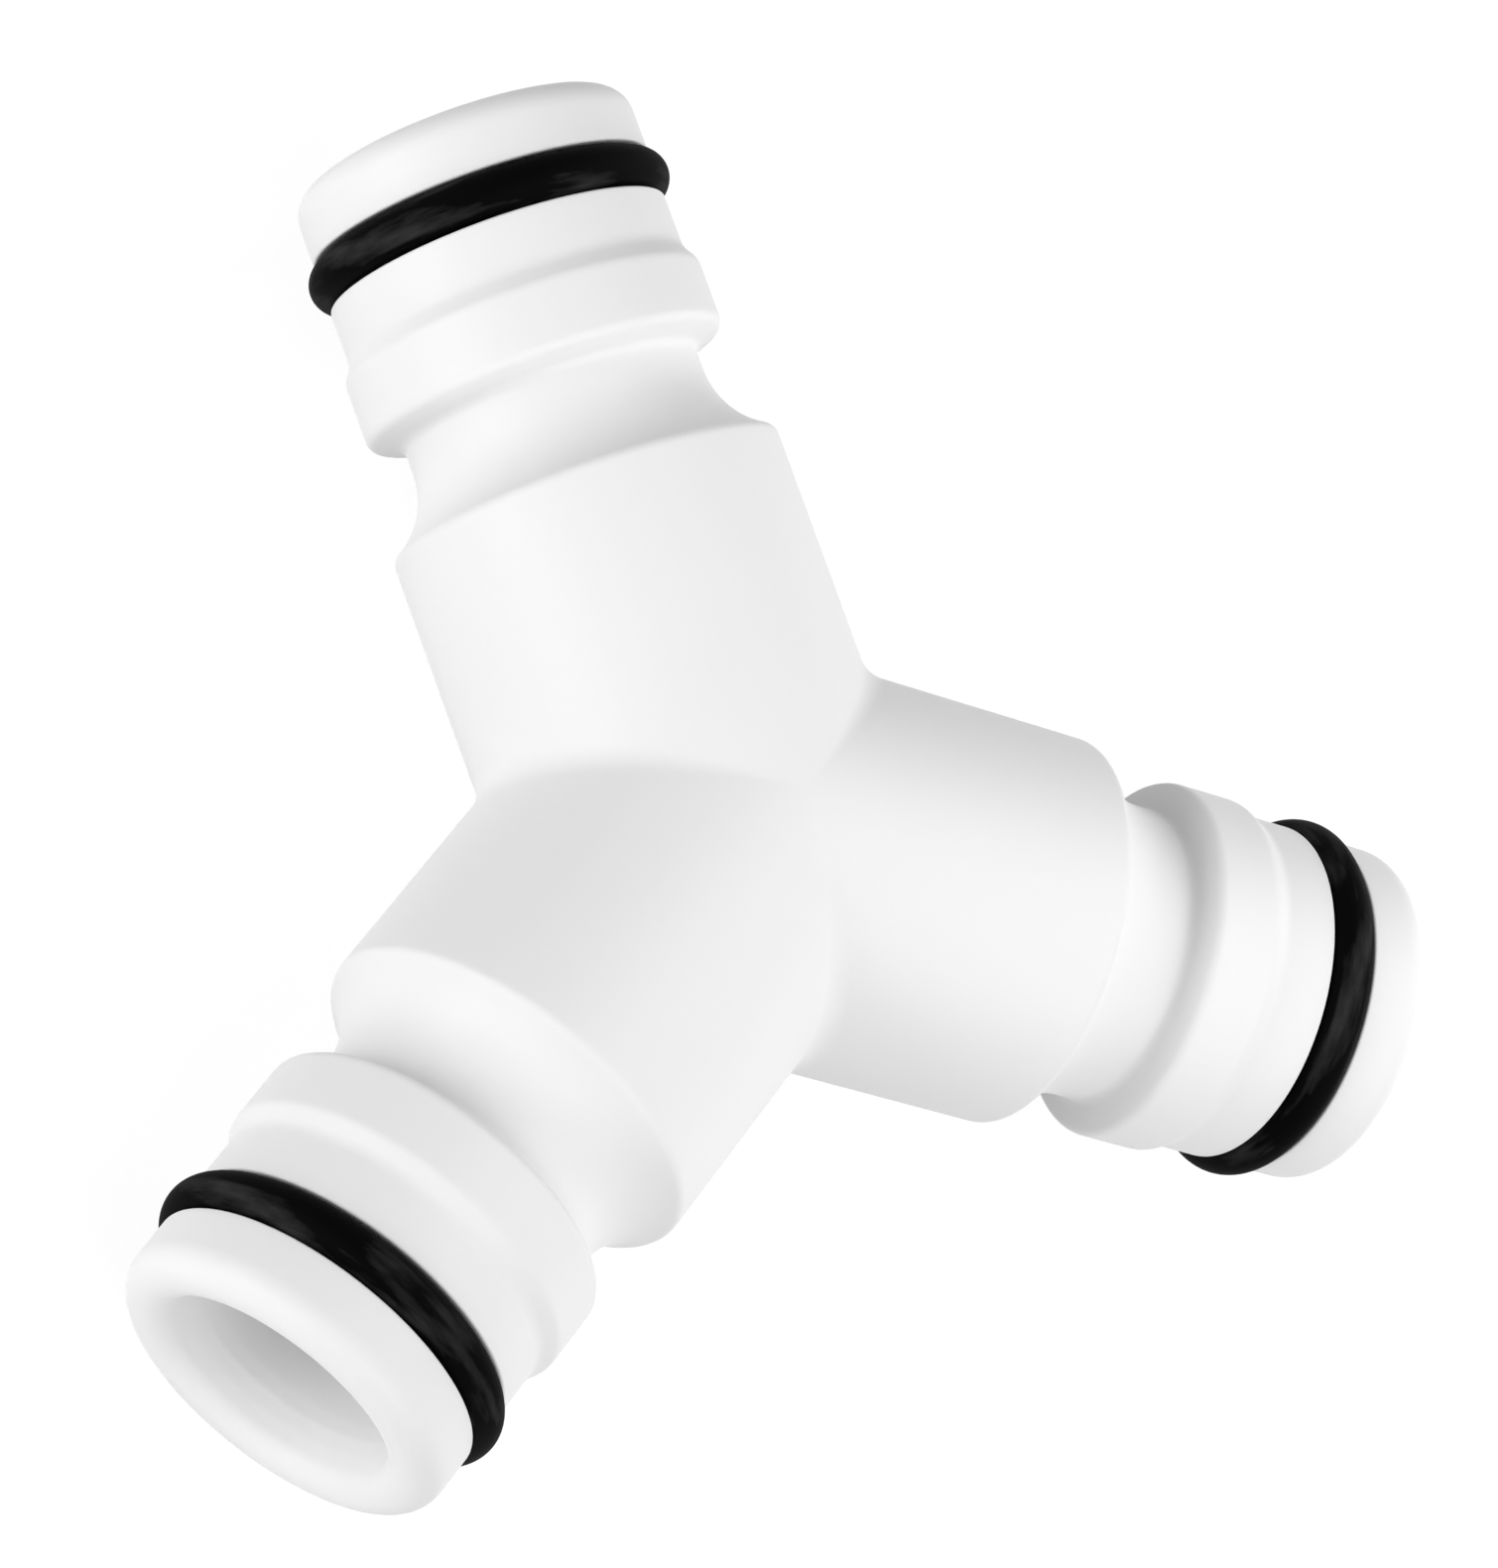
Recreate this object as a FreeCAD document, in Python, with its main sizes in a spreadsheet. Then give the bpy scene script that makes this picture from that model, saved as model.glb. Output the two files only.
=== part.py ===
import FreeCAD, Part
import math
import os
import Sketcher

# Three-way hose connector, millimetres.
# A moulded body with three equal arms lies flat in the XY plane, its hub centre at the origin.
# Each arm is a quick-connect nipple with a rubber ring seated in a gland near its tip.

os.makedirs("parts", exist_ok=True)
doc = FreeCAD.newDocument("connector")

# The arms are equal and share the full turn about the hub.
ARM_COUNT = 3

# Lengths run outward along an arm, each from the end of the one before it.
# The nose sets the fit in a socket, and the other radii of the nipple follow from it.
SIZES = [
    ("barrel_radius", 9.2),
    ("barrel_length", 16.7),
    ("crotch_round", 1.8),
    ("shoulder_land", 0.58),
    ("shoulder_round", 0.5),
    ("flare_bend", 4.7),
    ("neck_length", 4.65),
    ("neck_wall", 1.9),
    ("neck_foot_round", 0.3),
    ("collar_slope", 0.55),
    ("collar_width", 3.05),
    ("collar_rise", 0.47),
    ("collar_back_round", 0.3),
    ("collar_front_round", 0.25),
    ("ramp_length", 0.8),
    ("ramp_foot_round", 0.6),
    ("nose_radius", 8.05),
    ("nose_length", 8.1),
    ("nose_wall", 2.95),
    ("tip_round", 1.3),
    ("tip_land", 0.1),
    ("bell_rise", 0.65),
    ("bell_length", 2.2),
    ("bell_foot_round", 5.0),
    ("ring_cord", 2.1),
    ("ring_stand", 0.595),
    ("ring_setback", 4.35),
    ("ring_floor_gap", 0.02),
    ("ring_side_gap", 0.06),
    ("gland_edge_round", 0.12),
    ("cut_margin", 2.0),
]

# Radii and stations worked out from the sizes above, as formulas of the sheet.
# A station is the distance from the hub centre along the axis of an arm.
DERIVED = [
    ("bore_radius", "nose_radius - nose_wall"),
    ("neck_radius", "bore_radius + neck_wall"),
    ("collar_radius", "nose_radius + collar_rise"),
    ("flare_top", "barrel_radius - shoulder_land"),
    ("collar_foot", "barrel_length + neck_length"),
    ("collar_back", "collar_foot + collar_slope"),
    ("collar_front", "collar_back + collar_width"),
    ("ramp_end", "collar_front + ramp_length"),
    ("tip_station", "ramp_end + nose_length"),
    ("mouth_radius", "bore_radius + bell_rise"),
    ("bell_start", "tip_station - bell_length"),
    ("bell_slope", "bell_rise / bell_length"),
    ("tip_width", "nose_wall - bell_rise - tip_round - tip_land"),
    ("mouth_round", "tip_width * (bell_slope + sqrt(1 + bell_slope * bell_slope))"),
    ("ring_station", "tip_station - ring_setback"),
    ("ring_radius", "nose_radius + ring_stand - ring_cord / 2"),
    ("gland_floor", "ring_radius - ring_cord / 2 - ring_floor_gap"),
    ("gland_low", "ring_station - ring_cord / 2 - ring_side_gap"),
    ("gland_high", "ring_station + ring_cord / 2 + ring_side_gap"),
    ("gland_clear", "nose_radius + cut_margin"),
    ("bore_end", "tip_station + cut_margin"),
]

sheet = doc.addObject("Spreadsheet::Sheet", "Sizes")
for row, (name, number) in enumerate(SIZES, start=1):
    sheet.set("A%d" % row, name)
    sheet.set("B%d" % row, str(number))
    sheet.setAlias("B%d" % row, name)
for row, (name, formula) in enumerate(DERIVED, start=len(SIZES) + 1):
    sheet.set("A%d" % row, name)
    sheet.set("B%d" % row, "=" + formula)
    sheet.setAlias("B%d" % row, name)
doc.recompute()
v = {name: float(sheet.get(name)) for name, content in SIZES + DERIVED}


def origin_item(body, role):
    for item in body.Origin.OriginFeatures:
        if item.Role == role:
            return item
    raise RuntimeError("origin item missing: " + role)


def flat_sketch(body, name):
    sketch = body.newObject("Sketcher::SketchObject", name)
    sketch.AttachmentSupport = [(origin_item(body, "XY_Plane"), "")]
    sketch.MapMode = "FlatFace"
    return sketch


def from_origin(sketch, kind, line, end, name):
    # A distance from the sketch origin to an end of a line, tied to the cell of the same name.
    index = sketch.addConstraint(Sketcher.Constraint(kind, -1, 1, line, end, v[name]))
    sketch.renameConstraint(index, name)
    sketch.setExpression("Constraints." + name, "Sizes." + name)


def rectangle(sketch, left, right, low, high):
    # Four sides joined end to end from the lower left corner, level and upright.
    corners = [(left, low), (right, low), (right, high), (left, high)]
    points = [FreeCAD.Vector(x, y, 0) for x, y in corners]
    for index in range(4):
        sketch.addGeometry(Part.LineSegment(points[index], points[(index + 1) % 4]), False)
    for index in range(4):
        sketch.addConstraint(Sketcher.Constraint("Coincident", index, 2, (index + 1) % 4, 1))
        direction = "Vertical" if index % 2 else "Horizontal"
        sketch.addConstraint(Sketcher.Constraint(direction, index))


def circles_at(shape, radius, station):
    # Names of the full circles of this radius about the axes of the arms, at this station.
    names = []
    for index, edge in enumerate(shape.Edges, start=1):
        centre = edge.CenterOfMass
        same_length = abs(edge.Length - 2 * math.pi * radius) < 1e-3
        same_station = abs(centre.Length - station) < 1e-3
        if edge.isClosed() and same_length and same_station:
            names.append("Edge%d" % index)
    if len(names) != ARM_COUNT:
        raise RuntimeError("edges of radius %.3f at station %.3f not found" % (radius, station))
    return names


def round_edges(body, name, names, size):
    # A constant-radius round on the named edges of the body as it stands.
    base = body.Tip
    feature = body.newObject("PartDesign::Fillet", name)
    feature.Base = (base, names)
    feature.setExpression("Radius", "Sizes." + size)
    body.Tip = feature
    doc.recompute()
    return feature


def spun(body, kind, name, sketch):
    # A full turn of a sketch about its own vertical axis, which is the axis of the rear arm.
    feature = body.newObject(kind, name)
    feature.Profile = sketch
    feature.ReferenceAxis = (sketch, ["V_Axis"])
    feature.Angle = 360.0
    sketch.Visibility = False
    return feature


def around_hub(body, name, originals, sketch):
    # The listed features repeated for all arms, about the vertical line through the hub.
    feature = body.newObject("PartDesign::PolarPattern", name)
    feature.Originals = originals
    feature.Axis = (sketch, ["N_Axis"])
    feature.Angle = 360.0
    body.Tip = feature
    feature.Occurrences = ARM_COUNT
    doc.recompute()
    return feature


# Moulded body.
body = doc.addObject("PartDesign::Body", "body")
body.Label = "body"

# Half section of one arm: barrel, shoulder, flare, neck, collar, ramp and nose.
# Sketch x is the radius and sketch y the station along the rear arm.
flare_centre = v["neck_radius"] + v["flare_bend"]
flare_reach = math.sqrt(v["flare_bend"] ** 2 - (flare_centre - v["flare_top"]) ** 2)
flare_end = v["barrel_length"] + flare_reach

arm = flat_sketch(body, "arm_profile")
corners = [
    (0.0, 0.0),
    (v["barrel_radius"], 0.0),
    (v["barrel_radius"], v["barrel_length"]),
    (v["flare_top"], v["barrel_length"]),
    (v["neck_radius"], flare_end),
    (v["neck_radius"], v["collar_foot"]),
    (v["collar_radius"], v["collar_back"]),
    (v["collar_radius"], v["collar_front"]),
    (v["nose_radius"], v["ramp_end"]),
    (v["nose_radius"], v["tip_station"]),
    (0.0, v["tip_station"]),
]
HUB, BARREL, LAND, FLARE, NECK, SLOPE, COLLAR, RAMP, NOSE, TIP, AXIS = range(len(corners))
START, END = 1, 2
points = [FreeCAD.Vector(x, y, 0) for x, y in corners]
for index, point in enumerate(points):
    following = points[(index + 1) % len(points)]
    if index == FLARE:
        centre = FreeCAD.Vector(flare_centre, flare_end, 0)
        circle = Part.Circle(centre, FreeCAD.Vector(0, 0, 1), v["flare_bend"])
        arc = Part.ArcOfCircle(circle, circle.parameter(following), circle.parameter(point))
        arm.addGeometry(arc, False)
    else:
        arm.addGeometry(Part.LineSegment(point, following), False)

# The arc of the flare is drawn from the neck to the shoulder, so its start lies on the neck.
arm.addConstraint(Sketcher.Constraint("Coincident", LAND, END, FLARE, END))
arm.addConstraint(Sketcher.Constraint("Tangent", FLARE, START, NECK, START))
for line in (HUB, BARREL, NECK, SLOPE, COLLAR, RAMP, NOSE, TIP):
    arm.addConstraint(Sketcher.Constraint("Coincident", line, END, line + 1, START))
arm.addConstraint(Sketcher.Constraint("Coincident", AXIS, END, HUB, START))
arm.addConstraint(Sketcher.Constraint("Coincident", HUB, START, -1, 1))
for line in (HUB, LAND, TIP):
    arm.addConstraint(Sketcher.Constraint("Horizontal", line))
for line in (BARREL, NECK, COLLAR, NOSE, AXIS):
    arm.addConstraint(Sketcher.Constraint("Vertical", line))
bend = arm.addConstraint(Sketcher.Constraint("Radius", FLARE, v["flare_bend"]))
arm.renameConstraint(bend, "flare_bend")
arm.setExpression("Constraints.flare_bend", "Sizes.flare_bend")
from_origin(arm, "DistanceX", HUB, END, "barrel_radius")
from_origin(arm, "DistanceY", BARREL, END, "barrel_length")
from_origin(arm, "DistanceX", LAND, END, "flare_top")
from_origin(arm, "DistanceX", NECK, END, "neck_radius")
from_origin(arm, "DistanceY", NECK, END, "collar_foot")
from_origin(arm, "DistanceX", SLOPE, END, "collar_radius")
from_origin(arm, "DistanceY", SLOPE, END, "collar_back")
from_origin(arm, "DistanceY", COLLAR, END, "collar_front")
from_origin(arm, "DistanceX", RAMP, END, "nose_radius")
from_origin(arm, "DistanceY", RAMP, END, "ramp_end")
from_origin(arm, "DistanceY", NOSE, END, "tip_station")
doc.recompute()
arm_solid = spun(body, "PartDesign::Revolution", "arm_solid", arm)
doc.recompute()
arms = around_hub(body, "arms", [arm_solid], arm)

# Crotches: the creases between neighbouring arms run from the top of the hub to its underside.
creases = []
for index, edge in enumerate(arms.Shape.Edges, start=1):
    if isinstance(edge.Curve, Part.Ellipse):
        creases.append("Edge%d" % index)
round_edges(body, "crotches", creases, "crotch_round")

# Gland for the ring: a square groove round the nose, a little wider than the cord.
gland = flat_sketch(body, "gland_profile")
rectangle(gland, v["gland_floor"], v["gland_clear"], v["gland_low"], v["gland_high"])
from_origin(gland, "DistanceX", 0, START, "gland_floor")
from_origin(gland, "DistanceX", 0, END, "gland_clear")
from_origin(gland, "DistanceY", 0, START, "gland_low")
from_origin(gland, "DistanceY", 2, END, "gland_high")
doc.recompute()
gland_cut = spun(body, "PartDesign::Groove", "gland_cut", gland)
doc.recompute()

# Bore: a straight passage from the hub centre that widens like a bell just inside the tip.
bore = flat_sketch(body, "bore_profile")
corners = [
    (0.0, 0.0),
    (v["bore_radius"], 0.0),
    (v["bore_radius"], v["bell_start"]),
    (v["mouth_radius"], v["tip_station"]),
    (v["mouth_radius"], v["bore_end"]),
    (0.0, v["bore_end"]),
]
START_LINE, WALL, BELL, MOUTH, END_LINE, MIDDLE = range(len(corners))
points = [FreeCAD.Vector(x, y, 0) for x, y in corners]
for index, point in enumerate(points):
    bore.addGeometry(Part.LineSegment(point, points[(index + 1) % len(points)]), False)
for line in range(len(corners)):
    following = (line + 1) % len(corners)
    bore.addConstraint(Sketcher.Constraint("Coincident", line, END, following, START))
bore.addConstraint(Sketcher.Constraint("Coincident", START_LINE, START, -1, 1))
for line in (START_LINE, END_LINE):
    bore.addConstraint(Sketcher.Constraint("Horizontal", line))
for line in (WALL, MOUTH, MIDDLE):
    bore.addConstraint(Sketcher.Constraint("Vertical", line))
from_origin(bore, "DistanceX", WALL, END, "bore_radius")
from_origin(bore, "DistanceY", WALL, END, "bell_start")
from_origin(bore, "DistanceX", BELL, END, "mouth_radius")
from_origin(bore, "DistanceY", BELL, END, "tip_station")
from_origin(bore, "DistanceY", MOUTH, END, "bore_end")
doc.recompute()
bore_cut = spun(body, "PartDesign::Groove", "bore_cut", bore)
doc.recompute()
cuts = around_hub(body, "passages", [gland_cut, bore_cut], arm)

# Rounds of every arm, from the shoulder out to the tip.
for name, radius, station, size in (
    ("shoulder_rounds", "barrel_radius", "barrel_length", "shoulder_round"),
    ("neck_foot_rounds", "neck_radius", "collar_foot", "neck_foot_round"),
    ("collar_back_rounds", "collar_radius", "collar_back", "collar_back_round"),
    ("collar_front_rounds", "collar_radius", "collar_front", "collar_front_round"),
    ("ramp_foot_rounds", "nose_radius", "ramp_end", "ramp_foot_round"),
    ("gland_low_rounds", "nose_radius", "gland_low", "gland_edge_round"),
    ("gland_high_rounds", "nose_radius", "gland_high", "gland_edge_round"),
    ("tip_rounds", "nose_radius", "tip_station", "tip_round"),
    ("mouth_rounds", "mouth_radius", "tip_station", "mouth_round"),
    ("bell_foot_rounds", "bore_radius", "bell_start", "bell_foot_round"),
):
    round_edges(body, name, circles_at(body.Tip.Shape, v[radius], v[station]), size)


# Rubber rings: one round cord per arm, turned about the hub from the rear arm.
ring_bodies = []
for index, label in enumerate(("o_ring_rear", "o_ring_left", "o_ring_right")):
    ring = doc.addObject("PartDesign::Body", label)
    ring.Label = label
    cord = flat_sketch(ring, label + "_cord")
    cord_centre = FreeCAD.Vector(v["ring_radius"], v["ring_station"], 0)
    cord.addGeometry(Part.Circle(cord_centre, FreeCAD.Vector(0, 0, 1), v["ring_cord"] / 2), False)
    from_origin(cord, "DistanceX", 0, 3, "ring_radius")
    from_origin(cord, "DistanceY", 0, 3, "ring_station")
    thickness = cord.addConstraint(Sketcher.Constraint("Diameter", 0, v["ring_cord"]))
    cord.renameConstraint(thickness, "ring_cord")
    cord.setExpression("Constraints.ring_cord", "Sizes.ring_cord")
    doc.recompute()
    ring_solid = spun(ring, "PartDesign::Revolution", label + "_solid", cord)
    ring.Tip = ring_solid
    ring.Placement = FreeCAD.Placement(
        FreeCAD.Vector(0, 0, 0),
        FreeCAD.Rotation(FreeCAD.Vector(0, 0, 1), index * 360.0 / ARM_COUNT),
    )
    ring_bodies.append(ring)
doc.recompute()

# Every object has to be sound before the parts are written.
for item in doc.Objects:
    if "Invalid" in item.State or "Error" in item.State:
        raise RuntimeError("feature failed: " + item.Name)
for item in [body] + ring_bodies:
    if item.Shape.isNull() or not item.Shape.isValid() or len(item.Shape.Solids) != 1:
        raise RuntimeError("shape failed: " + item.Label)
    item.Shape.exportStep("parts/" + item.Label + ".step")
    size = item.Shape.BoundBox
    print(item.Label, "volume %.1f" % item.Shape.Volume)
    print("  x %.2f %.2f  y %.2f %.2f  z %.2f %.2f"
          % (size.XMin, size.XMax, size.YMin, size.YMax, size.ZMin, size.ZMax))
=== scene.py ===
import math

import bpy
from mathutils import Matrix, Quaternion, Vector


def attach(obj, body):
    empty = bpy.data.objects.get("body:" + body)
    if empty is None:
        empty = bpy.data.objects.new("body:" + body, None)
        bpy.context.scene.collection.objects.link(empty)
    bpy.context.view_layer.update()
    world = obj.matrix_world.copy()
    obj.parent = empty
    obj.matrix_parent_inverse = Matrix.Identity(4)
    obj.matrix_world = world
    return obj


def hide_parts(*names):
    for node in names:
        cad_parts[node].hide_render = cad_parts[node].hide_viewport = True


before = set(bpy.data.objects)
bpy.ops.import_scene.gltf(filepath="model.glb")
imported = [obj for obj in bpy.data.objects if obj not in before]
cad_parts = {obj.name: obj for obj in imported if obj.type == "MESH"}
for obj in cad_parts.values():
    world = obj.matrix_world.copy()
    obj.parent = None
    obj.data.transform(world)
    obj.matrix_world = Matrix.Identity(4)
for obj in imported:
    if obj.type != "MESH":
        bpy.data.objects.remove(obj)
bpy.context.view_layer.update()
scene = bpy.context.scene


# MOULDED BODY
# One white injection moulding in a tough, faintly waxy plastic. Three equal nipples meet at a hub,
# and each has a barrel, a waisted neck where the hose socket locks, a sloped collar and a plain
# nose. It is made in one shot round three core pins, so every edge has a small mould radius.
MM = 0.001
ARM_COUNT = 3
BARREL_RADIUS, BARREL_LENGTH = 9.2 * MM, 16.7 * MM
CROTCH_ROUND = 1.8 * MM
FLARE_START, FLARE_BEND = 16.55 * MM, 4.2 * MM
SHOULDER_ROUND = 0.5 * MM
NECK_LENGTH, NECK_WALL, NECK_FOOT_ROUND = 4.65 * MM, 1.9 * MM, 0.5 * MM
COLLAR_SLOPE, COLLAR_WIDTH, COLLAR_RISE = 0.55 * MM, 3.05 * MM, 0.47 * MM
COLLAR_BACK_ROUND, COLLAR_FRONT_ROUND = 0.5 * MM, 0.7 * MM
RAMP_LENGTH, RAMP_FOOT_ROUND = 0.8 * MM, 1.1 * MM
NOSE_RADIUS, NOSE_LENGTH, NOSE_WALL = 8.05 * MM, 8.1 * MM, 2.95 * MM
TIP_ROUND, TIP_LAND = 1.3 * MM, 0.1 * MM
BELL_RISE, BELL_LENGTH, BELL_FOOT_ROUND = 0.65 * MM, 2.2 * MM, 5.0 * MM
RING_CORD, RING_STAND, RING_SETBACK = 2.1 * MM, 0.595 * MM, 4.35 * MM
GLAND_FLOOR_GAP, GLAND_SIDE_GAP, GLAND_EDGE_ROUND = 0.02 * MM, 0.06 * MM, 0.12 * MM

bore_radius = NOSE_RADIUS - NOSE_WALL
neck_radius = bore_radius + NECK_WALL
collar_radius = NOSE_RADIUS + COLLAR_RISE
collar_foot = BARREL_LENGTH + NECK_LENGTH
collar_back = collar_foot + COLLAR_SLOPE
collar_front = collar_back + COLLAR_WIDTH
ramp_end = collar_front + RAMP_LENGTH
tip_station = ramp_end + NOSE_LENGTH
mouth_radius = bore_radius + BELL_RISE

# The mouth's round starts at the land on the tip and takes up all the wall that is left there.
bell_slope = BELL_RISE / BELL_LENGTH
mouth_wall = NOSE_WALL - BELL_RISE - TIP_ROUND - TIP_LAND
mouth_round = mouth_wall * (bell_slope + math.sqrt(1 + bell_slope ** 2))

# The ring lies with a small gap to the gland's floor and to each of its sides.
ring_station = tip_station - RING_SETBACK
ring_radius = NOSE_RADIUS + RING_STAND - RING_CORD / 2
gland_floor = ring_radius - RING_CORD / 2 - GLAND_FLOOR_GAP
gland_back = ring_station - RING_CORD / 2 - GLAND_SIDE_GAP
gland_front = ring_station + RING_CORD / 2 + GLAND_SIDE_GAP

# A round is drawn in steps of this turn. A straight run has a row close to each end of it, and its other
# rows are no further apart than the long one.
ARC_DEGREES = 12
EDGE_ROW, LONG_ROW = 0.12 * MM, 1.6 * MM


def round_corners(corners):
    """Points of an outline given as (station, radius, round) corners, with each round as an arc."""
    points = [Vector(corners[0][:2])]
    for before, corner, after in zip(corners, corners[1:], corners[2:]):
        here = Vector(corner[:2])
        if corner[2] == 0:
            points.append(here)
            continue
        back = (Vector(before[:2]) - here).normalized()
        on = (Vector(after[:2]) - here).normalized()
        half = back.angle(on) / 2
        centre = here + (back + on).normalized() * corner[2] / math.sin(half)
        start = (here + back * corner[2] / math.tan(half) - centre).normalized()
        end = (here + on * corner[2] / math.tan(half) - centre).normalized()
        steps = max(2, math.ceil(math.degrees(math.pi - 2 * half) / ARC_DEGREES))
        points += [centre + corner[2] * start.slerp(end, step / steps) for step in range(steps + 1)]
    points.append(Vector(corners[-1][:2]))
    return points


def divide_runs(points):
    """The same outline with a row close to each end of a straight run, and no long rows."""
    rows = [points[0]]
    for start, end in zip(points, points[1:]):
        run = (end - start).length
        if run > 4 * EDGE_ROW:
            along = (end - start) / run
            count = math.ceil((run - 2 * EDGE_ROW) / LONG_ROW)
            for step in range(count + 1):
                rows.append(start + along * (EDGE_ROW + (run - 2 * EDGE_ROW) * step / count))
        rows.append(end)
    return rows


FLARE_ROWS = 14
flare_centre = neck_radius + FLARE_BEND
flare_turn = math.acos((flare_centre - BARREL_RADIUS) / FLARE_BEND)
flare_end = FLARE_START + FLARE_BEND * math.sin(flare_turn)
flare = []
for row in range(1, FLARE_ROWS + 1):
    turn = flare_turn * (1 - row / FLARE_ROWS)
    flare.append((flare_end - FLARE_BEND * math.sin(turn), flare_centre - FLARE_BEND * math.cos(turn), 0))

BARREL_ROOT = 6.9 * MM
outline = divide_runs(round_corners([
    (BARREL_ROOT, BARREL_RADIUS, 0),
    (FLARE_START, BARREL_RADIUS, SHOULDER_ROUND),
    *flare,
    (collar_foot, neck_radius, NECK_FOOT_ROUND),
    (collar_back, collar_radius, COLLAR_BACK_ROUND),
    (collar_front, collar_radius, COLLAR_FRONT_ROUND),
    (ramp_end, NOSE_RADIUS, RAMP_FOOT_ROUND),
    (gland_back, NOSE_RADIUS, GLAND_EDGE_ROUND),
    (gland_back, gland_floor, 0),
    (gland_front, gland_floor, 0),
    (gland_front, NOSE_RADIUS, GLAND_EDGE_ROUND),
    (tip_station, NOSE_RADIUS, TIP_ROUND),
    (tip_station, mouth_radius, mouth_round),
    (tip_station - BELL_LENGTH, bore_radius, BELL_FOOT_ROUND),
    (bore_radius, bore_radius, 0),
]))

# The arm lies along +Y. Each column of points starts on the plane shared with the next arm, rolls
# out of the rounded crotch, runs along the barrel to the mouth and back down the bore to the hub.
COLUMNS = 192
CROTCH_ROWS = 10
ROOT_ROWS = 5
CROSSING_ROWS = 3
half_pitch = math.pi / ARM_COUNT
arm_axis = Vector((0, 1, 0))
arm_points = []
for column in range(COLUMNS):
    turn = 2 * math.pi * column / COLUMNS
    outward = Vector((math.cos(turn), 0, math.sin(turn)))
    reach = abs(outward.x) / math.tan(half_pitch)
    side = math.copysign(1, outward.x)
    shared_normal = Vector((side * math.cos(half_pitch), -math.sin(half_pitch), 0))
    mirrored = outward - 2 * outward.dot(shared_normal) * shared_normal
    middle = (outward + mirrored).normalized()
    ball = (BARREL_RADIUS + CROTCH_ROUND) * (outward + reach * arm_axis)
    points = []
    for row in range(CROTCH_ROWS + 1):
        points.append(ball - CROTCH_ROUND * middle.slerp(outward, row / CROTCH_ROWS))
    crotch_end = points[-1]
    along_arm = [row.y * outward + row.x * arm_axis for row in outline]
    points += [crotch_end.lerp(along_arm[0], row / ROOT_ROWS) for row in range(1, ROOT_ROWS)]
    points += along_arm
    crossing = bore_radius * (outward + reach * arm_axis)
    points += [along_arm[-1].lerp(crossing, row / CROSSING_ROWS) for row in range(1, CROSSING_ROWS + 1)]
    arm_points.append(points)

row_count = len(arm_points[0])
arm_faces = []
for column in range(COLUMNS):
    here, beside = column * row_count, (column + 1) % COLUMNS * row_count
    for row in range(row_count - 1):
        arm_faces.append((here + row, here + row + 1, beside + row + 1, beside + row))
arm_mesh = bpy.data.meshes.new("arm")
arm_mesh.from_pydata([point for points in arm_points for point in points], [], arm_faces)


def named_input(tree, name, kind):
    """A named input of a Geometry Nodes tree, which a modifier sets by its identifier."""
    return tree.interface.new_socket(name, in_out="INPUT", socket_type="NodeSocket" + kind)


# Geometry Nodes sets the arm once for each place round the hub and joins the edges they share.
JOIN_DISTANCE = 0.0005 * MM
body_tree = bpy.data.node_groups.new("arms_round_the_hub", "GeometryNodeTree")
named_input(body_tree, "Arm", "Geometry")
count_in = named_input(body_tree, "Arm count", "Int")
join_in = named_input(body_tree, "Join distance", "Float")
finish_in = named_input(body_tree, "Finish", "Material")
body_tree.interface.new_socket("Body", in_out="OUTPUT", socket_type="NodeSocketGeometry")
make, join = body_tree.nodes.new, body_tree.links.new
given, made = make("NodeGroupInput"), make("NodeGroupOutput")
places = make("GeometryNodeMeshLine")
places.inputs["Offset"].default_value = (0, 0, 0)
join(given.outputs["Arm count"], places.inputs["Count"])
whole_turn = make("ShaderNodeMath")
whole_turn.operation = "DIVIDE"
whole_turn.inputs[0].default_value = 2 * math.pi
join(given.outputs["Arm count"], whole_turn.inputs[1])
arm_turn = make("ShaderNodeMath")
arm_turn.operation = "MULTIPLY"
join(make("GeometryNodeInputIndex").outputs["Index"], arm_turn.inputs[0])
join(whole_turn.outputs[0], arm_turn.inputs[1])
about_z = make("ShaderNodeCombineXYZ")
join(arm_turn.outputs[0], about_z.inputs["Z"])
set_arms = make("GeometryNodeInstanceOnPoints")
join(places.outputs["Mesh"], set_arms.inputs["Points"])
join(given.outputs["Arm"], set_arms.inputs["Instance"])
join(about_z.outputs[0], set_arms.inputs["Rotation"])
real_arms = make("GeometryNodeRealizeInstances")
join(set_arms.outputs[0], real_arms.inputs[0])
one_shell = make("GeometryNodeMergeByDistance")
join(real_arms.outputs[0], one_shell.inputs["Geometry"])
join(given.outputs["Join distance"], one_shell.inputs["Distance"])
smooth = make("GeometryNodeSetShadeSmooth")
join(one_shell.outputs[0], smooth.inputs["Geometry"])
painted = make("GeometryNodeSetMaterial")
join(smooth.outputs[0], painted.inputs["Geometry"])
join(given.outputs["Finish"], painted.inputs["Material"])
join(painted.outputs[0], made.inputs["Body"])


def moulded_finish(name, ior, specular):
    """A material for a moulded surface."""
    material = bpy.data.materials.new(name)
    material.use_nodes = True
    skin = material.node_tree.nodes["Principled BSDF"]
    skin.inputs["IOR"].default_value = ior
    skin.inputs["Specular IOR Level"].default_value = specular
    return material


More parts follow.
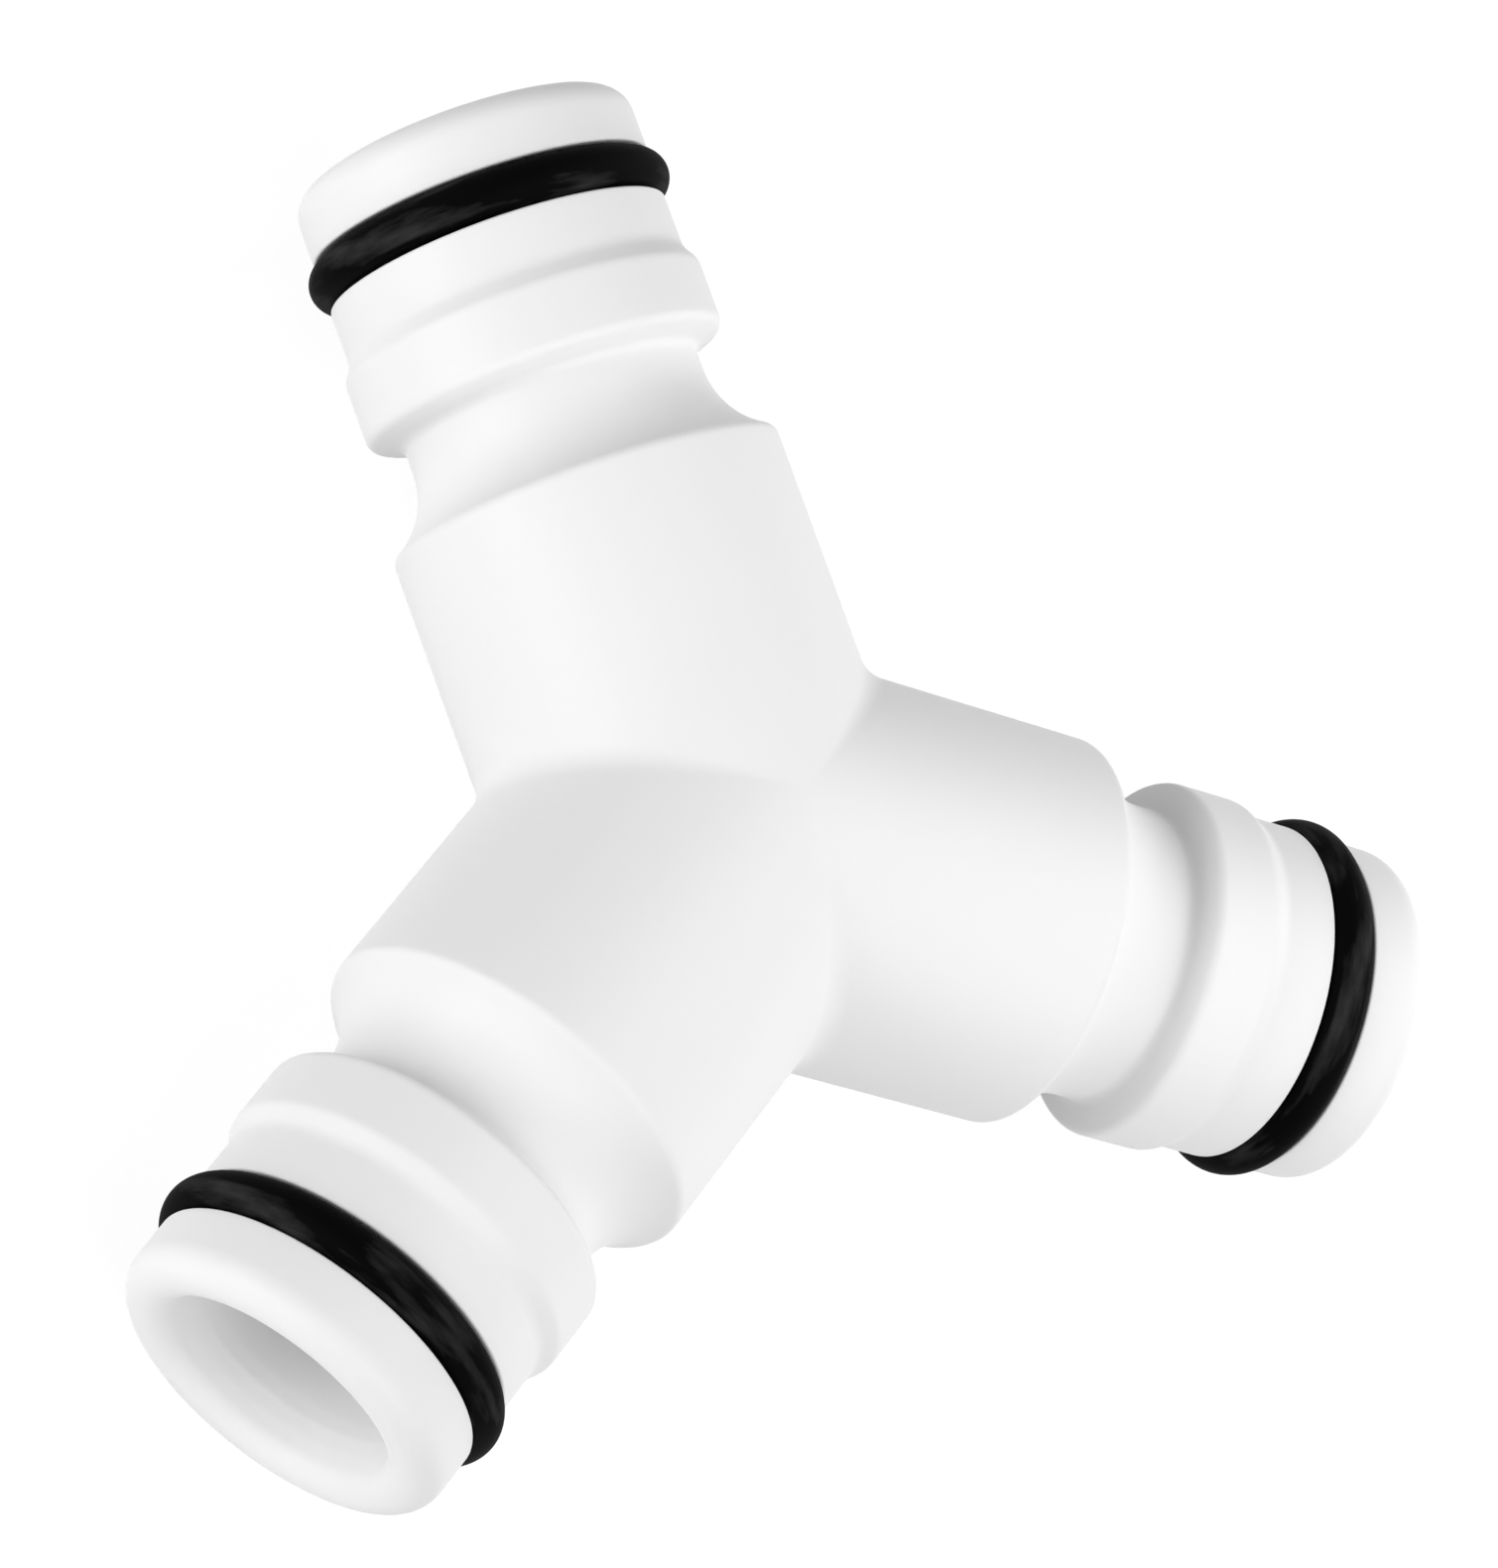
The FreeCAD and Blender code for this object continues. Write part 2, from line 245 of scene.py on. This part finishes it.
def vary_skin(material, pattern, greys, roughnesses):
    """Lets a finish's grey and roughness follow a pattern, each from its first value to its second."""
    make, join = material.node_tree.nodes.new, material.node_tree.links.new
    skin = material.node_tree.nodes["Principled BSDF"]
    tone = make("ShaderNodeMix")
    tone.data_type = "RGBA"
    for end, grey in zip("AB", greys):
        tone.inputs[end].default_value = (grey, grey, grey, 1)
    join(pattern, tone.inputs["Factor"])
    join(tone.outputs["Result"], skin.inputs["Base Color"])
    gloss = make("ShaderNodeMapRange")
    for end, roughness in zip(("To Min", "To Max"), roughnesses):
        gloss.inputs[end].default_value = roughness
    join(pattern, gloss.inputs["Value"])
    join(gloss.outputs["Result"], skin.inputs["Roughness"])


def grain_skin(material, scale, strength, depth):
    """Adds the fine grain that the mould leaves on a finish."""
    make, join = material.node_tree.nodes.new, material.node_tree.links.new
    skin = material.node_tree.nodes["Principled BSDF"]
    place = make("ShaderNodeTexCoord")
    grain = make("ShaderNodeTexNoise")
    grain.inputs["Scale"].default_value = scale
    join(place.outputs["Object"], grain.inputs["Vector"])
    relief = make("ShaderNodeBump")
    relief.inputs["Strength"].default_value = strength
    relief.inputs["Distance"].default_value = depth
    join(grain.outputs["Fac"], relief.inputs["Height"])
    join(relief.outputs["Normal"], skin.inputs["Normal"])


# The plastic is a neutral white with a satin skin. The mould leaves a fine grain, and slow swirls in
# the melt leave faint changes of tone and gloss.
white_plastic = moulded_finish("white_satin_plastic", ior=1.48, specular=0.3)
make, join = white_plastic.node_tree.nodes.new, white_plastic.node_tree.links.new
on_body = make("ShaderNodeTexCoord")
swirl = make("ShaderNodeTexNoise")
swirl.inputs["Scale"].default_value = 85
swirl.inputs["Detail"].default_value = 3
swirl.inputs["Distortion"].default_value = 0.6
join(on_body.outputs["Object"], swirl.inputs["Vector"])
vary_skin(white_plastic, swirl.outputs["Fac"], greys=(0.785, 0.815), roughnesses=(0.42, 0.52))
grain_skin(white_plastic, scale=4200, strength=0.35, depth=0.006 * MM)


def plain_piece(name, shaped):
    """The evaluated shape of an object as a new object, with no modifier and its place in its mesh."""
    mesh = bpy.data.meshes.new_from_object(shaped.evaluated_get(bpy.context.evaluated_depsgraph_get()))
    bpy.data.objects.remove(shaped)
    piece = bpy.data.objects.new(name, mesh)
    scene.collection.objects.link(piece)
    return piece


arm = bpy.data.objects.new("arm", arm_mesh)
scene.collection.objects.link(arm)
round_hub = arm.modifiers.new("arms round the hub", "NODES")
round_hub.node_group = body_tree
round_hub[count_in.identifier] = ARM_COUNT
round_hub[join_in.identifier] = JOIN_DISTANCE
round_hub[finish_in.identifier] = white_plastic
body = plain_piece("moulded_body", arm)
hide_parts("body")
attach(body, "root")


# SEALING RINGS
# Three black rubber O-rings, one stretched into the gland of each nose. Each is a closed loop of
# round moulded cord, dull black, with greyer patches painted into its colour as highlights. The
# painted highlight patches are set at a different place on each ring.
RING_STEPS, CORD_STEPS = 200, 48
ring_tree = bpy.data.node_groups.new("ring_in_its_gland", "GeometryNodeTree")
ring_radius_in = named_input(ring_tree, "Ring radius", "Float")
cord_radius_in = named_input(ring_tree, "Cord radius", "Float")
station_in = named_input(ring_tree, "Distance from hub", "Float")
arm_angle_in = named_input(ring_tree, "Arm angle", "Float")
# The turn and roll inputs only turn the painted highlight pattern round the ring and round the cord; the
# ring's shape stays the same.
sheen_turn_in = named_input(ring_tree, "Sheen turn", "Float")
sheen_roll_in = named_input(ring_tree, "Sheen roll", "Float")
rubber_in = named_input(ring_tree, "Rubber", "Material")
ring_tree.interface.new_socket("Ring", in_out="OUTPUT", socket_type="NodeSocketGeometry")
make, join = ring_tree.nodes.new, ring_tree.links.new
given, made = make("NodeGroupInput"), make("NodeGroupOutput")


def circle_with_heading(steps, radius, first_turn):
    """A circle of the ring tree, and the unit vector that points round it to each of its points."""
    circle = make("GeometryNodeCurvePrimitiveCircle")
    circle.inputs["Resolution"].default_value = steps
    join(radius, circle.inputs["Radius"])
    turn = make("ShaderNodeMath")
    turn.operation = "MULTIPLY_ADD"
    turn.inputs[1].default_value = 2 * math.pi
    join(make("GeometryNodeSplineParameter").outputs["Factor"], turn.inputs[0])
    join(first_turn, turn.inputs[2])
    heading = make("ShaderNodeCombineXYZ")
    for operation, axis in (("COSINE", "X"), ("SINE", "Y")):
        wave = make("ShaderNodeMath")
        wave.operation = operation
        join(turn.outputs[0], wave.inputs[0])
        join(wave.outputs[0], heading.inputs[axis])
    kept = make("GeometryNodeCaptureAttribute")
    kept.capture_items.new("VECTOR", "Heading")
    join(circle.outputs["Curve"], kept.inputs["Geometry"])
    join(heading.outputs[0], kept.inputs["Heading"])
    return kept.outputs["Geometry"], kept.outputs["Heading"]


ring_size, ring_sheen_start = given.outputs["Ring radius"], given.outputs["Sheen turn"]
ring_path, round_ring = circle_with_heading(RING_STEPS, ring_size, ring_sheen_start)
cord_size, cord_sheen_start = given.outputs["Cord radius"], given.outputs["Sheen roll"]
cord_path, round_cord = circle_with_heading(CORD_STEPS, cord_size, cord_sheen_start)
swept = make("GeometryNodeCurveToMesh")
join(ring_path, swept.inputs["Curve"])
join(cord_path, swept.inputs["Profile Curve"])
ring_shape = swept.outputs["Mesh"]
for name, heading in (("round_ring", round_ring), ("round_cord", round_cord)):
    store = make("GeometryNodeStoreNamedAttribute")
    store.data_type = "FLOAT_VECTOR"
    store.inputs["Name"].default_value = name
    join(ring_shape, store.inputs["Geometry"])
    join(heading, store.inputs["Value"])
    ring_shape = store.outputs["Geometry"]
onto_arm = make("GeometryNodeTransform")
onto_arm.inputs["Rotation"].default_value = (-math.pi / 2, 0, 0)
out_along = make("ShaderNodeCombineXYZ")
join(given.outputs["Distance from hub"], out_along.inputs["Y"])
join(ring_shape, onto_arm.inputs["Geometry"])
join(out_along.outputs[0], onto_arm.inputs["Translation"])
round_to_arm = make("GeometryNodeTransform")
about_z = make("ShaderNodeCombineXYZ")
join(given.outputs["Arm angle"], about_z.inputs["Z"])
join(onto_arm.outputs[0], round_to_arm.inputs["Geometry"])
join(about_z.outputs[0], round_to_arm.inputs["Rotation"])
smooth = make("GeometryNodeSetShadeSmooth")
join(round_to_arm.outputs[0], smooth.inputs["Geometry"])
real_ring = make("GeometryNodeRealizeInstances")
join(smooth.outputs[0], real_ring.inputs[0])
painted = make("GeometryNodeSetMaterial")
join(real_ring.outputs[0], painted.inputs["Geometry"])
join(given.outputs["Rubber"], painted.inputs["Material"])
join(painted.outputs[0], made.inputs["Ring"])

# The rubber's painted highlights are greyer streaks in its colour that run along the cord. Each point
# of a ring knows its heading round the ring and round the cord, so the pattern closes on itself both
# ways.
black_rubber = moulded_finish("black_seal_rubber", ior=1.52, specular=0.02)
make, join = black_rubber.node_tree.nodes.new, black_rubber.node_tree.links.new
along = make("ShaderNodeAttribute")
along.attribute_name = "round_ring"
across = make("ShaderNodeAttribute")
across.attribute_name = "round_cord"
slow_along = make("ShaderNodeVectorMath")
slow_along.operation = "SCALE"
slow_along.inputs["Scale"].default_value = 1.6
join(along.outputs["Vector"], slow_along.inputs[0])
across_part = make("ShaderNodeSeparateXYZ")
join(across.outputs["Vector"], across_part.inputs[0])
lifted = make("ShaderNodeCombineXYZ")
join(across_part.outputs["X"], lifted.inputs["Z"])
place_on_cord = make("ShaderNodeVectorMath")
place_on_cord.operation = "ADD"
join(slow_along.outputs[0], place_on_cord.inputs[0])
join(lifted.outputs[0], place_on_cord.inputs[1])
sheen_streaks = make("ShaderNodeTexNoise")
sheen_streaks.noise_dimensions = "4D"
sheen_streaks.inputs["Scale"].default_value = 1.1
sheen_streaks.inputs["Detail"].default_value = 4
join(place_on_cord.outputs[0], sheen_streaks.inputs["Vector"])
join(across_part.outputs["Y"], sheen_streaks.inputs["W"])
# Painted highlight: where the streaks rise, the black is lifted towards grey and the rubber gets rougher.
painted_sheen = make("ShaderNodeMapRange")
painted_sheen.inputs["From Min"].default_value = 0.52
painted_sheen.inputs["From Max"].default_value = 0.78
join(sheen_streaks.outputs["Fac"], painted_sheen.inputs["Value"])
vary_skin(black_rubber, painted_sheen.outputs["Result"], greys=(0.0008, 0.037), roughnesses=(0.62, 0.75))
grain_skin(black_rubber, scale=5200, strength=0.4, depth=0.008 * MM)

# Each ring's two angles turn its painted highlight patches round the ring and round the cord.
for index, (node, sheen_turn, sheen_roll) in enumerate((
    ("o_ring_rear", 44, 0),
    ("o_ring_left", -75, 50),
    ("o_ring_right", -33, 0),
)):
    ring = bpy.data.objects.new("ring", bpy.data.meshes.new("ring"))
    scene.collection.objects.link(ring)
    in_gland = ring.modifiers.new("ring in its gland", "NODES")
    in_gland.node_group = ring_tree
    in_gland[ring_radius_in.identifier] = ring_radius
    in_gland[cord_radius_in.identifier] = RING_CORD / 2
    in_gland[station_in.identifier] = ring_station
    in_gland[arm_angle_in.identifier] = 2 * math.pi * index / ARM_COUNT
    in_gland[sheen_turn_in.identifier] = math.radians(sheen_turn)
    in_gland[sheen_roll_in.identifier] = math.radians(sheen_roll)
    in_gland[rubber_in.identifier] = black_rubber
    seal = plain_piece("seal" + node.removeprefix("o_ring"), ring)
    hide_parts(node)
    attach(seal, "root")


# TABLE, LIGHT AND CAMERA
# The part lies on its three barrels on a plain white table. Three softboxes stand well away from it,
# at the left, in front and higher up, and five small panels close by fill in round it. Table and room
# are seen as white paper, and the table keeps the shadow.
table_mesh = bpy.data.meshes.new("table")
HALF_TABLE = 1.5
corners = []
for x, y in ((-1, -1), (1, -1), (1, 1), (-1, 1)):
    corners.append((x * HALF_TABLE, y * HALF_TABLE, -BARREL_RADIUS))
table_mesh.from_pydata(corners, [], [(0, 1, 2, 3)])
table = bpy.data.objects.new("table", table_mesh)
scene.collection.objects.link(table)
PAPER_WHITE, ROOM_LIGHT = 0.91, 0.01


def seen_rays(make, join):
    """1 for rays from the camera, a reflection or something clear, and 0 for rays that carry light on."""
    ray = make("ShaderNodeLightPath")
    seen = ray.outputs["Is Camera Ray"]
    for kind in ("Is Glossy Ray", "Is Transmission Ray"):
        either = make("ShaderNodeMath")
        either.operation = "MAXIMUM"
        join(seen, either.inputs[0])
        join(ray.outputs[kind], either.inputs[1])
        seen = either.outputs[0]
    return seen


white_table = bpy.data.materials.new("white_table")
white_table.use_nodes = True
make, join = white_table.node_tree.nodes.new, white_table.node_tree.links.new
white_table.node_tree.nodes.remove(white_table.node_tree.nodes["Principled BSDF"])
lit = make("ShaderNodeBsdfDiffuse")
lit.inputs["Color"].default_value = (0.75, 0.75, 0.75, 1)
shadow_keeper = make("ShaderNodeBsdfDiffuse")
shadow_keeper.inputs["Color"].default_value = (0.14, 0.14, 0.14, 1)
paper = make("ShaderNodeEmission")
paper.inputs["Strength"].default_value = PAPER_WHITE
paper_and_shadow = make("ShaderNodeAddShader")
join(shadow_keeper.outputs[0], paper_and_shadow.inputs[0])
join(paper.outputs[0], paper_and_shadow.inputs[1])
by_ray = make("ShaderNodeMixShader")
join(seen_rays(make, join), by_ray.inputs["Fac"])
join(lit.outputs[0], by_ray.inputs[1])
join(paper_and_shadow.outputs[0], by_ray.inputs[2])
join(by_ray.outputs[0], white_table.node_tree.nodes["Material Output"].inputs["Surface"])
table_mesh.materials.append(white_table)

room = bpy.data.worlds.new("room")
scene.world = room
room.use_nodes = True
air = room.node_tree.nodes["Background"]
air.inputs["Color"].default_value = (1, 1, 1, 1)
make, join = room.node_tree.nodes.new, room.node_tree.links.new
brightness = make("ShaderNodeMapRange")
brightness.inputs["To Min"].default_value = ROOM_LIGHT
brightness.inputs["To Max"].default_value = PAPER_WHITE
join(seen_rays(make, join), brightness.inputs["Value"])
join(brightness.outputs["Result"], air.inputs["Strength"])

# Each kind of lamp is given by its width and its distance from the hub.
SOFTBOX, SMALL_PANEL = (0.45, 0.8), (0.12, 0.17)
for name, (size, distance), heading, height, watts in (
    ("softbox_left", SOFTBOX, 160, 6, 3.1),
    ("softbox_front", SOFTBOX, 270, 25, 1.9),
    ("softbox_above", SOFTBOX, 240, 50, 1.3),
    ("panel_back", SMALL_PANEL, 135, 20, 0.075),
    ("panel_left", SMALL_PANEL, 180, 20, 0.075),
    ("panel_right", SMALL_PANEL, 0, 20, 0.075),
    ("panel_right_above", SMALL_PANEL, 0, 55, 0.11),
    ("panel_front_above", SMALL_PANEL, 300, 55, 0.08),
):
    lamp_data = bpy.data.lights.new(name, "AREA")
    lamp_data.shape = "SQUARE"
    lamp_data.size = size
    lamp_data.energy = watts
    lamp = bpy.data.objects.new(name, lamp_data)
    turn, rise = math.radians(heading), math.radians(height)
    away = Vector((math.cos(turn) * math.cos(rise), math.sin(turn) * math.cos(rise), math.sin(rise)))
    lamp.location = distance * away
    lamp.rotation_mode = "QUATERNION"
    lamp.rotation_quaternion = (-away).to_track_quat("-Z", "Y")
    scene.collection.objects.link(lamp)

# The camera looks down from the left arm's side, at the photograph's angle, and is rolled so that the
# rear arm points up.
CAMERA_PLACE = (-115.728 * MM, -19.150 * MM, 192.424 * MM)
CAMERA_AIM = Vector((2.957 * MM, 1.918 * MM, 0))
CAMERA_ROLL = 61.455
camera_data = bpy.data.cameras.new("camera")
camera_data.sensor_width = 36
camera_data.lens = 115.019
camera_data.clip_start, camera_data.clip_end = 0.01, 10
camera = bpy.data.objects.new("camera", camera_data)
camera.location = CAMERA_PLACE
camera.rotation_mode = "QUATERNION"
level_view = (CAMERA_AIM - camera.location).to_track_quat("-Z", "Y")
camera.rotation_quaternion = level_view @ Quaternion((0, 0, 1), math.radians(CAMERA_ROLL))
scene.collection.objects.link(camera)
scene.camera = camera
scene.view_settings.view_transform = "Standard"
